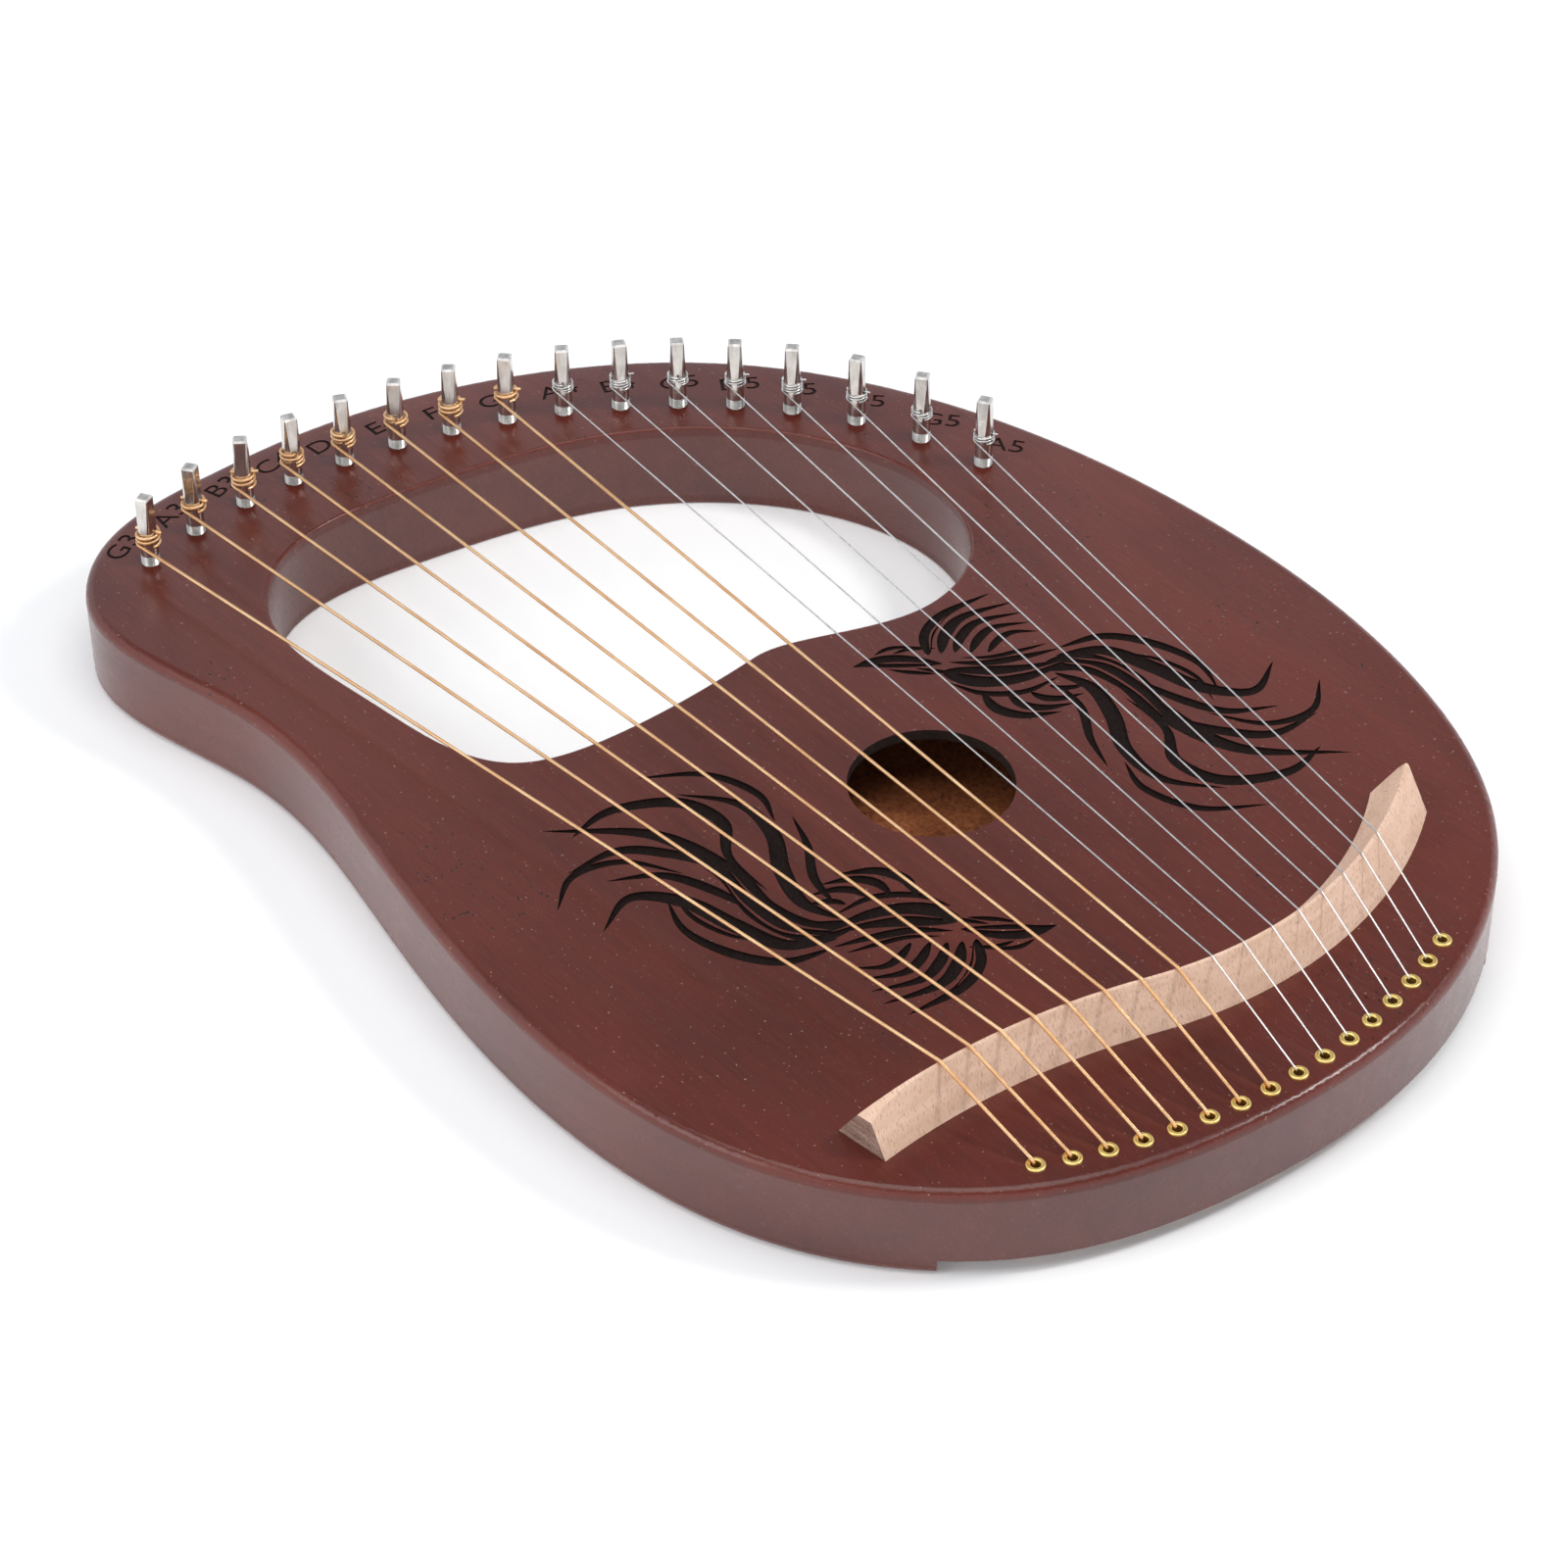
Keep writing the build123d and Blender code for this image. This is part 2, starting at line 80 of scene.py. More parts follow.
# The bird's strokes: points along the middle, greatest width, and where along the stroke that width is.
BIRD = [
    # beak, head and neck
    ([(14.6, 3.2), (20, 1.2), (26, -3.2), (33, -10.5)], 5.4, 0.58),
    ([(22, 3.4), (27, 3.0), (32.5, -0.6)], 1.5, 0.5),
    ([(26, 0.8), (31.0, -0.6), (36, -4.6)], 1.6, 0.5),
    ([(20.5, -2.8), (24.0, -7.4), (29.0, -12.6)], 1.6, 0.6),
    ([(26.5, -7.4), (30, -12), (33.5, -16.5)], 1.5, 0.5),
    # body
    ([(30.5, -13), (36.5, -20.5), (46, -26.5), (58, -30)], 8.8, 0.40),
    ([(29.0, -17.5), (32.5, -26.0), (41, -32.4), (52, -33.5)], 2.2, 0.5),
    ([(34.5, -11.0), (41.5, -17.2), (50, -21.4), (60, -25)], 2.6, 0.5),
    ([(38.0, -11.5), (44.5, -16.4), (52, -19.2), (59, -21.4)], 1.6, 0.5),
    # raised wing
    ([(32.5, -5.5), (38, 1.2), (47.5, 5.0), (62.5, 4.0)], 3.8, 0.38),
    ([(35.5, -7.0), (42, -1.6), (50.5, 0.9), (64.5, -2.6)], 3.4, 0.38),
    ([(38.5, -9.0), (44.5, -4.9), (52, -3.2), (63.5, -7.6)], 3.0, 0.38),
    ([(41.5, -11.6), (47.5, -8.4), (53.5, -7.6), (62, -12.0)], 2.7, 0.38),
    ([(45.0, -14.4), (50.5, -12.2), (55.5, -12.2), (61, -16.2)], 2.3, 0.38),
    # lowered wing
    ([(32.5, -26.0), (31.0, -33), (34.5, -39.6), (42.5, -44.5)], 3.4, 0.42),
    ([(37.0, -30.6), (37.0, -36), (40.5, -40.6), (47.5, -44)], 3.0, 0.42),
    ([(42.0, -33.6), (43.0, -37.4), (46.5, -40.6), (52.0, -42.6)], 2.6, 0.42),
    ([(47.5, -34.6), (49.0, -37.2), (52.0, -39.2), (56, -40.2)], 2.0, 0.42),
    # tail, from the rump outwards
    ([(51, -28.0), (60.5, -33), (64.0, -46), (61.5, -62), (66, -84), (86, -103.0)], 8.2, 0.30),
    ([(57, -26.5), (68, -33.0), (72.5, -46), (76.0, -60), (85, -69.5), (97.5, -64)], 4.8, 0.42),
    ([(60, -24.6), (72, -28.5), (79.5, -39), (82.5, -52), (78.5, -64.0)], 3.0, 0.42),
    ([(52, -31.5), (55.0, -42), (51.0, -54), (44.0, -66), (43.0, -80), (52.5, -93)], 4.4, 0.42),
    ([(58.5, -50), (57.5, -66), (50.5, -77), (54.0, -90), (68.5, -98), (82, -96)], 3.9, 0.55),
    ([(65.5, -47), (68.5, -60), (74, -71), (85.5, -78)], 3.0, 0.42),
    ([(62.5, -66), (67.5, -76), (76.5, -85), (91.0, -86)], 3.4, 0.42),
    ([(49.5, -37), (47.0, -47), (40.5, -57), (36.0, -68)], 2.4, 0.42),
    ([(40.5, -69), (37.0, -80), (42.0, -94), (56, -104)], 2.4, 0.5),
    ([(69.5, -68), (78, -81), (90.5, -84.5), (101.0, -77)], 2.2, 0.5),
    ([(70.5, -36), (76.0, -45), (78.0, -56), (74.5, -66)], 1.5, 0.5),
]
# thin ridges that are left standing inside the widest strokes
RIDGES = [
    ([(33.5, -16.0), (39.5, -22.6), (48, -27.0), (57, -29.4)], 0.8, 0.5),
    ([(56.5, -29.8), (61.4, -37), (62.4, -50), (60.6, -62)], 0.8, 0.4),
    ([(59.5, -29.8), (65.4, -38), (66.0, -50), (63.6, -61)], 0.8, 0.4),
    ([(34.3, -4.2), (39.4, 1.0), (47.0, 4.0)], 0.6, 0.5),
    ([(20.5, 0.2), (25.5, -3.6), (31.0, -8.8)], 0.6, 0.5),
]
STROKE_STEPS = 44
STROKE_FULLNESS = 0.8

# ---------------------------------------------------------------- which faces get which material, metres
CROWN_DEPTH = 0.6 * MM
THREAD_HEIGHT = 2.8 * MM
SAWN_END_REACH = 3 * MM
SAME_LEVEL = 1e-6
WELD_DISTANCE = 1e-7
SHARP_ANGLE = math.radians(32)
# what kind of face it is shows in how much of its normal points along an axis
FACES_STRAIGHT_UP = 0.9
FACES_MOSTLY_UP = 0.5
FACES_ALONG_BAR = 0.8
FACES_SIDEWAYS = 0.1
# the soundboard's materials, in the order of its slots
BOARD_MATERIALS = ("top", "char", "scorched", "cut")
TOP_SLOT, CHAR_SLOT, SCORCHED_SLOT, CUT_SLOT = range(len(BOARD_MATERIALS))

# ---------------------------------------------------------------- stage, metres and watts
FLOOR_RADIUS = 9.0
FLOOR_SIDES = 96
FLOOR_GLOW = 0.09
# name, place, width and height, and power of each soft box, which looks at the frame's origin
SOFT_BOXES = [
    ("overhead", (-0.1, -0.15, 1.3), (1.1, 1.1), 9),
    ("right_box", (0.72, -0.60, 0.98), (0.24, 0.24), 6.5),
    ("left_box", (-1.2, 0.2, 0.7), (0.7, 0.9), 4),
]
# the backdrop's own up, which leans so that its upper edge is lower on the camera's right
BACKDROP_UP = (0.153, -0.129, 1.0)
# how bright the surroundings are at each height along that up: white backdrop first, then the dim room
SURROUNDINGS = [(0.0, 1.00), (0.49, 1.20), (0.545, 1.05), (0.60, 0.20), (0.72, 0.10), (1.0, 0.12)]
COOL_WHITE = (0.94, 0.98, 1.04)
CAMERA_TARGET = Vector((-28.8, -21.4, 25.4)) * MM
CAMERA_DISTANCE = 1.0301
CAMERA_AZIMUTH = math.radians(-40)
CAMERA_ELEVATION = math.radians(39)
CAMERA_ROLL = math.radians(-0.3)
CAMERA_LENS = 96.75
CAMERA_CLIP = (0.05, 50)


# ---------------------------------------------------------------- materials
DARK_STAIN = (0.066, 0.0120, 0.0082)
STAIN = (0.100, 0.0185, 0.0120)
LIGHT_STAIN = (0.134, 0.0262, 0.0160)
RUBBED_EDGE = (0.165, 0.026, 0.014)
PALE_SPECK = (0.36, 0.24, 0.20)


def node(tree, kind, inputs=None, **settings):
    """A new shader node. An input is a value or another node's output."""
    made = tree.nodes.new("ShaderNode" + kind)
    for key, value in settings.items():
        setattr(made, key, value)
    for key, value in (inputs or {}).items():
        socket = made.inputs[key]
        if isinstance(value, bpy.types.NodeSocket):
            tree.links.new(value, socket)
        else:
            socket.default_value = value
    return made


def new_material(name, **fixed):
    """A material whose Principled shader has these fixed values. Returns it, its tree and its shader."""
    material = bpy.data.materials.new(name)
    material.use_nodes = True
    tree = material.node_tree
    shader = tree.nodes["Principled BSDF"]
    for key, value in fixed.items():
        shader.inputs[key.replace("_", " ")].default_value = value
    return material, tree, shader


def stretched_noise(tree, scale, detail=3.0, roughness=0.55, rotation=(0, 0, 0), distortion=0.0):
    """Noise in the object's own metres, with its own scale along each axis."""
    place = node(tree, "TexCoord").outputs["Object"]
    turned = node(tree, "Mapping", {"Vector": place, "Rotation": rotation})
    mapped = node(tree, "Mapping", {"Vector": turned.outputs[0], "Scale": scale})
    settings = {"Vector": mapped.outputs[0], "Scale": 1.0, "Detail": detail, "Roughness": roughness}
    return node(tree, "TexNoise", {**settings, "Distortion": distortion}).outputs["Fac"]


def ramp(tree, value, stops):
    """A colour or grey ramp. Each stop is a place and a grey or a colour."""
    made = node(tree, "ValToRGB", {"Fac": value})
    elements = made.color_ramp.elements
    while len(elements) < len(stops):
        elements.new(0.5)
    for element, (place, colour) in zip(elements, stops):
        element.position = place
        element.color = (*colour, 1) if isinstance(colour, tuple) else (colour, colour, colour, 1)
    return made.outputs["Color"]


def mix(tree, factor, first, second):
    """A blend of two colours. In a Mix node they are inputs 6 and 7, and the blend is output 2."""
    made = node(tree, "Mix", data_type="RGBA")
    for index, value in ((0, factor), (6, first), (7, second)):
        if isinstance(value, bpy.types.NodeSocket):
            tree.links.new(value, made.inputs[index])
        elif isinstance(value, tuple):
            made.inputs[index].default_value = (*value, 1)
        else:
            made.inputs[index].default_value = value
    return made.outputs[2]


def maths(tree, operation, first, second=0.0, clamp=False):
    """The result of one Math node. Each of its two terms is a number or another node's output."""
    made = node(tree, "Math", operation=operation, use_clamp=clamp)
    for socket, value in zip(made.inputs, (first, second)):
        if isinstance(value, bpy.types.NodeSocket):
            tree.links.new(value, socket)
        else:
            socket.default_value = value
    return made.outputs[0]


def bump(tree, height, distance, strength=1.0):
    """A normal bent by this height, which is worth so many metres at its full value."""
    return node(tree, "Bump", {"Height": height, "Distance": distance, "Strength": strength}).outputs[0]


def rounded_edge_mask(tree):
    """1 on the rounded upper and lower edges, and 0 on level and upright faces."""
    normal = node(tree, "TexCoord").outputs["Normal"]
    up = node(tree, "SeparateXYZ", {"Vector": normal}).outputs["Z"]
    rise = maths(tree, "ABSOLUTE", up)
    hump = maths(tree, "MULTIPLY", rise, maths(tree, "SUBTRACT", 1.0, rise))
    return maths(tree, "POWER", maths(tree, "MULTIPLY", hump, 4.0, clamp=True), 1.6)


def mahogany(name, pits, dust, lacquer):
    """Stained wood in satin lacquer: grain along Y, open pores, lighter edges, dust in the lacquer."""
    material, tree, shader = new_material(
        name, Specular_IOR_Level=0.5, Coat_Weight=lacquer, Coat_Roughness=0.3
    )
    broad = stretched_noise(tree, (16, 9, 16), detail=3, distortion=0.6)
    bands = stretched_noise(tree, (230, 8, 150), detail=4, roughness=0.6, distortion=0.4)
    fibre = stretched_noise(tree, (1700, 60, 1300), detail=3, roughness=0.65)
    tone = maths(tree, "MULTIPLY", broad, 0.45)
    tone = maths(tree, "ADD", tone, maths(tree, "MULTIPLY", bands, 0.25))
    tone = maths(tree, "ADD", tone, maths(tree, "MULTIPLY", fibre, 0.30))
    wood = ramp(tree, tone, [(0.35, DARK_STAIN), (0.50, STAIN), (0.65, LIGHT_STAIN)])
    rub = maths(tree, "MULTIPLY", rounded_edge_mask(tree), ramp(tree, broad, [(0.2, 0.25), (0.7, 0.6)]))
    wood = mix(tree, rub, wood, RUBBED_EDGE)
    pores = ramp(tree, stretched_noise(tree, (2600, 300, 1500), detail=1), [(0.67, 0.0), (0.74, 1.0)])
    patches = ramp(tree, stretched_noise(tree, (24, 16, 24), detail=1), [(0.56, 0.0), (0.64, 1.0)])
    pit_noise = stretched_noise(tree, (1150, 640, 1000), detail=0, rotation=(0, 0, 0.25))
    pitted = maths(tree, "MULTIPLY", ramp(tree, pit_noise, [(0.76, 0.0), (0.79, pits)]), patches)
    wood = mix(tree, maths(tree, "MULTIPLY", pores, 0.4), wood, DARK_STAIN)
    wood = mix(tree, pitted, wood, tuple(channel * 0.2 for channel in DARK_STAIN))
    speck_noise = stretched_noise(tree, (1250, 1250, 1250), detail=0)
    specks = ramp(tree, speck_noise, [(0.805, 0.0), (0.83, dust)])
    wood = mix(tree, specks, wood, PALE_SPECK)
    tree.links.new(wood, shader.inputs["Base Color"])
    gloss = ramp(tree, bands, [(0.3, 0.31), (0.7, 0.25)])
    tree.links.new(gloss, shader.inputs["Roughness"])
    ridges = maths(tree, "MULTIPLY", fibre, 0.2)
    relief = maths(tree, "SUBTRACT", ridges, maths(tree, "MULTIPLY", pores, 0.25))
    relief = maths(tree, "SUBTRACT", relief, maths(tree, "MULTIPLY", pitted, 3.0))
    tree.links.new(bump(tree, relief, distance=0.00007), shader.inputs["Normal"])
    return material


def charred():
    """The laser-burnt floor and walls of the engraving, hatched by the beam's passes."""
    material, tree, shader = new_material("charred_engraving", Specular_IOR_Level=0.12)
    specks = stretched_noise(tree, (2600, 2600, 2600), detail=4, roughness=0.7)
    soot = stretched_noise(tree, (160, 160, 160), detail=2)
    black = (0.004, 0.002, 0.002)
    brown = (0.020, 0.010, 0.008)
    ash = (0.075, 0.042, 0.035)
    colour = ramp(tree, specks, [(0.36, black), (0.60, brown), (0.78, ash)])
    colour = mix(tree, maths(tree, "MULTIPLY", soot, 0.5), colour, black)
    tree.links.new(colour, shader.inputs["Base Color"])
    tree.links.new(ramp(tree, specks, [(0.2, 0.95), (0.9, 0.6)]), shader.inputs["Roughness"])
    place = node(tree, "TexCoord").outputs["Object"]
    passes = {"Vector": place, "Scale": 1600.0, "Distortion": 0.6}
    hatch = node(tree, "TexWave", passes, bands_direction="Y").outputs["Fac"]
    relief = maths(tree, "ADD", maths(tree, "MULTIPLY", hatch, 0.5), specks)
    tree.links.new(bump(tree, relief, distance=0.00012), shader.inputs["Normal"])
    return material


def scorched():
    """The shallow, lightly burnt note names."""
    material, tree, shader = new_material("scorched_letters", Specular_IOR_Level=0.25, Roughness=0.7)
    specks = stretched_noise(tree, (1800, 1800, 1800), detail=3, roughness=0.7)
    colour = ramp(tree, specks, [(0.35, (0.004, 0.002, 0.002)), (0.68, (0.020, 0.007, 0.005))])
    tree.links.new(colour, shader.inputs["Base Color"])
    tree.links.new(bump(tree, specks, distance=0.0001), shader.inputs["Normal"])
    return material


def fibreboard(name, dark, light):
    """Bare fibrous board, as inside the sound box and on the sound hole's cut edge."""
    material, tree, shader = new_material(name, Specular_IOR_Level=0.3, Roughness=0.8)
    flecks = stretched_noise(tree, (900, 700, 900), detail=5, roughness=0.75)
    clouds = stretched_noise(tree, (45, 60, 45), detail=3)
    tone = maths(tree, "ADD", maths(tree, "MULTIPLY", flecks, 0.7), maths(tree, "MULTIPLY", clouds, 0.3))
    tree.links.new(ramp(tree, tone, [(0.36, dark), (0.64, light)]), shader.inputs["Base Color"])
    tree.links.new(bump(tree, flecks, distance=0.0003), shader.inputs["Normal"])
    return material


def beech():
    """Pale sanded beech with growth lines along the bridge, short dark ray flecks and a fine tooth."""
    material, tree, shader = new_material("beech", Specular_IOR_Level=0.35)
    growth = stretched_noise(tree, (9, 260, 330), detail=3, rotation=(0, 0, -0.12), distortion=0.5)
    clouds = stretched_noise(tree, (60, 70, 60), detail=2)
    tone = maths(tree, "ADD", maths(tree, "MULTIPLY", growth, 0.6), maths(tree, "MULTIPLY", clouds, 0.4))
    pale = (0.79, 0.545, 0.41)
    tan = (0.69, 0.45, 0.32)
    wood = ramp(tree, tone, [(0.38, tan), (0.58, pale)])
    flecks = stretched_noise(tree, (2600, 520, 900), detail=2, rotation=(0, 0, 0.35))
    wood = mix(tree, ramp(tree, flecks, [(0.54, 0.0), (0.68, 0.7)]), wood, (0.47, 0.27, 0.18))
    tree.links.new(wood, shader.inputs["Base Color"])
    tooth = stretched_noise(tree, (2400, 900, 2400), detail=3, rotation=(0, 0, 0.35))
    tree.links.new(ramp(tree, tooth, [(0.3, 0.72), (0.7, 0.58)]), shader.inputs["Roughness"])
    relief = maths(tree, "SUBTRACT", tooth, flecks)
    tree.links.new(bump(tree, relief, distance=0.00006), shader.inputs["Normal"])
    return material


def end_grain():
    """Beech sawn across: darker, with close rings and saw marks."""
    material, tree, shader = new_material("beech_end_grain", Specular_IOR_Level=0.25, Roughness=0.85)
    rings = stretched_noise(tree, (500, 120, 900), detail=3)
    pores = stretched_noise(tree, (2600, 2600, 2600), detail=2)
    wood = ramp(tree, rings, [(0.32, (0.21, 0.115, 0.085)), (0.66, (0.40, 0.26, 0.21))])
    wood = mix(tree, ramp(tree, pores, [(0.53, 0.0), (0.66, 0.8)]), wood, (0.12, 0.055, 0.04))
    tree.links.new(wood, shader.inputs["Base Color"])
    relief = maths(tree, "SUBTRACT", rings, pores)
    tree.links.new(bump(tree, relief, distance=0.0001), shader.inputs["Normal"])
    return material


def spruce():
    """Bare brace wood, with its grain along X."""
    material, tree, shader = new_material("brace_spruce", Specular_IOR_Level=0.3, Roughness=0.75)
    rings = stretched_noise(tree, (8, 520, 420), detail=3)
    wood = ramp(tree, rings, [(0.38, (0.42, 0.25, 0.12)), (0.6, (0.68, 0.50, 0.30))])
    tree.links.new(wood, shader.inputs["Base Color"])
    tree.links.new(bump(tree, rings, distance=0.0001), shader.inputs["Normal"])
    return material


def worn_metal(name, clean, dull, roughness, mark_scale, relief):
    """Plated or polished metal with fine tool marks and slightly uneven polish."""
    material, tree, shader = new_material(name, Metallic=1.0)
    tarnish = stretched_noise(tree, (500, 500, 260), detail=3)
    marks = stretched_noise(tree, mark_scale, detail=3, roughness=0.6)
    tree.links.new(ramp(tree, tarnish, [(0.38, dull), (0.62, clean)]), shader.inputs["Base Color"])
    shine = ramp(tree, marks, [(0.3, roughness + 0.10), (0.7, roughness)])
    tree.links.new(shine, shader.inputs["Roughness"])
    tree.links.new(bump(tree, marks, distance=relief), shader.inputs["Normal"])
    return material


def wound_wire(name):
    """Copper-coloured wire wound close round a core: fine ridges across the string."""
    material, tree, shader = new_material(name, Metallic=1.0)
    tarnish = stretched_noise(tree, (300, 60, 300), detail=3)
    colour = ramp(tree, tarnish, [(0.35, (0.74, 0.42, 0.20)), (0.65, (0.90, 0.60, 0.34))])
    tree.links.new(colour, shader.inputs["Base Color"])
    tree.links.new(ramp(tree, tarnish, [(0.3, 0.42), (0.7, 0.30)]), shader.inputs["Roughness"])
    place = node(tree, "TexCoord").outputs["Object"]
    turns = {"Vector": place, "Scale": 1500.0, "Distortion": 0.0}
    ridges = node(tree, "TexWave", turns, bands_direction="Y").outputs["Fac"]
    tree.links.new(bump(tree, ridges, distance=0.00004, strength=0.7), shader.inputs["Normal"])
    return material


MATERIALS = {
    "top": mahogany("stained_mahogany_top", pits=0.7, dust=0.6, lacquer=0.0),
    "frame": mahogany("stained_mahogany_frame", pits=0.35, dust=0.2, lacquer=0.45),
    "back": mahogany("stained_mahogany_back", pits=0.35, dust=0.2, lacquer=0.2),
    "char": charred(),
    "scorched": scorched(),
    "cut": fibreboard("cut_edge", dark=(0.006, 0.004, 0.003), light=(0.035, 0.018, 0.012)),
    "inside": fibreboard("bare_board", dark=(0.10, 0.022, 0.007), light=(0.42, 0.135, 0.045)),
    "beech": beech(),
    "end_grain": end_grain(),
    "spruce": spruce(),
    "brass": worn_metal(
        "brass",
        clean=(0.95, 0.72, 0.27),
        dull=(0.84, 0.60, 0.20),
        roughness=0.34,
        mark_scale=(700, 700, 700),
        relief=0.000002,
    ),
    "nickel": worn_metal(
        "nickel",
        clean=(0.74, 0.70, 0.66),
        dull=(0.60, 0.56, 0.52),
        roughness=0.14,
        mark_scale=(1500, 1500, 160),
        relief=0.000006,
    ),
    "crown": worn_metal(
        "nickel_crown",
        clean=(0.74, 0.71, 0.68),
        dull=(0.50, 0.48, 0.46),
        roughness=0.40,
        mark_scale=(900, 900, 900),
        relief=0.00008,
    ),
    "thread": worn_metal(
        "nickel_thread",
        clean=(0.52, 0.50, 0.48),
        dull=(0.34, 0.33, 0.31),
        roughness=0.30,
        mark_scale=(900, 900, 900),
        relief=0.00001,
    ),
    "wound": wound_wire("copper_wound_string"),
    "plain": worn_metal(
        "plain_steel_string",
        clean=(0.80, 0.80, 0.79),
        dull=(0.66, 0.65, 0.64),
        roughness=0.24,
        mark_scale=(2000, 60, 2000),
        relief=0.000005,
    ),
}


def finish_node(name, *materials):
    """Gives a CAD node its finished materials, the main one first."""
    mesh = NODES[name].data
    mesh.materials.clear()
    for material in materials:
        mesh.materials.append(MATERIALS[material])
    return mesh


# ---------------------------------------------------------------- drawing in the board's plane
def smooth_line(points, steps):
    """Catmull-Rom points through the given ones."""
    points = np.array(points, float)
    ends = np.vstack([2 * points[0] - points[1], points, 2 * points[-1] - points[-2]])
    out = []
    for t in np.linspace(0, len(points) - 1, steps):
        i = min(int(t), len(points) - 2)
        u = t - i
        a, b, c, d = ends[i : i + 4]
        square = (2 * a - 5 * b + 4 * c - d) * u**2
        cube = (3 * b - a - 3 * c + d) * u**3
        out.append(0.5 * (2 * b + (c - a) * u + square + cube))
    return np.array(out)


def stroke(points, width, fullest):
    """A closed outline that swells from a point to its full width and tapers to a point again."""
    middle = smooth_line(points, STROKE_STEPS)
    along = np.gradient(middle, axis=0)
    along /= np.linalg.norm(along, axis=1)[:, None]
    across = np.stack([-along[:, 1], along[:, 0]], 1)
    t = np.linspace(0, 1, STROKE_STEPS)
    bend = math.log(0.5) / math.log(fullest)
    half = 0.5 * width * np.sin(math.pi * t**bend) ** STROKE_FULLNESS
    left = middle + across * half[:, None]
    right = middle - across * half[:, None]
    return np.vstack([left, right[-2:0:-1]])


def turned_half_round(outline):
    """The outline turned through 180 degrees about the ornaments' common centre."""
    return 2 * np.array(ORNAMENT_CENTRE) - outline


def outline_edges(outline):
    """The pairs of neighbouring points round a closed outline."""
    return [(tuple(outline[i]), tuple(outline[(i + 1) % len(outline)])) for i in range(len(outline))]


def label_edges(text, centre, angle):
    """The outlines of a note's name, as edges, centred and turned."""
    curve = bpy.data.curves.new("label", "FONT")
    curve.body = text
    curve.size = LABEL_SIZE
    curve.resolution_u = LABEL_RESOLUTION
    writer = bpy.data.objects.new("label", curve)
    bpy.context.scene.collection.objects.link(writer)
    bpy.context.view_layer.update()
    flat = bpy.data.meshes.new_from_object(writer.evaluated_get(bpy.context.evaluated_depsgraph_get()))
    places = np.array([vertex.co[:2] for vertex in flat.vertices])
    places -= (places.min(0) + places.max(0)) / 2
    places[:, 0] *= LABEL_STRETCH
    turn = np.array([[math.cos(angle), -math.sin(angle)], [math.sin(angle), math.cos(angle)]])
    places = places @ turn.T + centre
    sides = bmesh.new()
    sides.from_mesh(flat)
    open_edges = [edge for edge in sides.edges if len(edge.link_faces) == 1]
    rim = [tuple(vertex.index for vertex in edge.verts) for edge in open_edges]
    sides.free()
    bpy.data.objects.remove(writer)
    bpy.data.meshes.remove(flat)
    bpy.data.curves.remove(curve)
    return [(tuple(places[a]), tuple(places[b])) for a, b in rim]


def label_shapes():
    """The sixteen note names, outside the pins, turning with their row."""
    pins = np.array([pin[:2] for pin in PINS]) / MM
    along = np.gradient(pins, axis=0)
    along /= np.linalg.norm(along, axis=1)[:, None]
    outward = np.stack([-along[:, 1], along[:, 0]], 1)
    shapes = []
    for i, note in enumerate(NOTES):
        angle = math.radians(LABEL_FIRST_ANGLE + LABEL_STEP_ANGLE * i)
        shapes.append(label_edges(note.upper(), pins[i] + outward[i] * LABEL_OFFSET, angle))
    return shapes


def ornament_shapes(lines):
    """The strokes of the two long-tailed birds, each bird the other turned half round."""
    outlines = [stroke(*line) for line in lines]
    outlines += [turned_half_round(outline) for outline in outlines]
    return [outline_edges(outline) for outline in outlines]


def inside(points, edges):
    """Which points an even-odd rule puts inside these edges."""
    edges = np.array(edges)
    x, y = points[:, 0, None], points[:, 1, None]
    x1, y1, x2, y2 = edges[:, 0, 0], edges[:, 0, 1], edges[:, 1, 0], edges[:, 1, 1]
    crosses = (y1 > y) != (y2 > y)
    level = np.where(y2 == y1, 1.0, y2 - y1)
    return (crosses & (x < (x2 - x1) * (y - y1) / level + x1)).sum(1) % 2 == 1


# ---------------------------------------------------------------- soundboard
def upper_rim(board):
    """The faces of the board's upper side, and the edges and vertices round them."""

    def at_top(face):
        return all(abs(vertex.co.z - TOP) < SAME_LEVEL for vertex in face.verts)

    upper = {face for face in board.faces if at_top(face)}
    rim = [edge for edge in board.edges if sum(face in upper for face in edge.link_faces) == 1]
    vertices = sorted({vertex for edge in rim for vertex in edge.verts}, key=lambda vertex: vertex.index)
    return upper, rim, vertices


def dividing_lines(rim, rim_vertices, shapes):
    """The points and edges that divide the upper side, in millimetres, the rim's first."""
    place_of = {vertex: i for i, vertex in enumerate(rim_vertices)}
    points = [Vector(vertex.co[:2]) / MM for vertex in rim_vertices]
    edges = [tuple(place_of[vertex] for vertex in edge.verts) for edge in rim]
    for shape in shapes:
        numbers = {}
        for ends in shape:
            for end in ends:
                if end not in numbers:
                    numbers[end] = len(points)
                    points.append(Vector(end))
            edges.append((numbers[ends[0]], numbers[ends[1]]))
    return points, edges


def sunk_depths(middles, layers):
    """How deep each triangle lies. A later layer's shapes count over an earlier one's."""
    depths = np.zeros(len(middles))
    for shapes, depth in layers:
        for shape in shapes:
            depths[inside(middles, shape)] = depth
    return depths


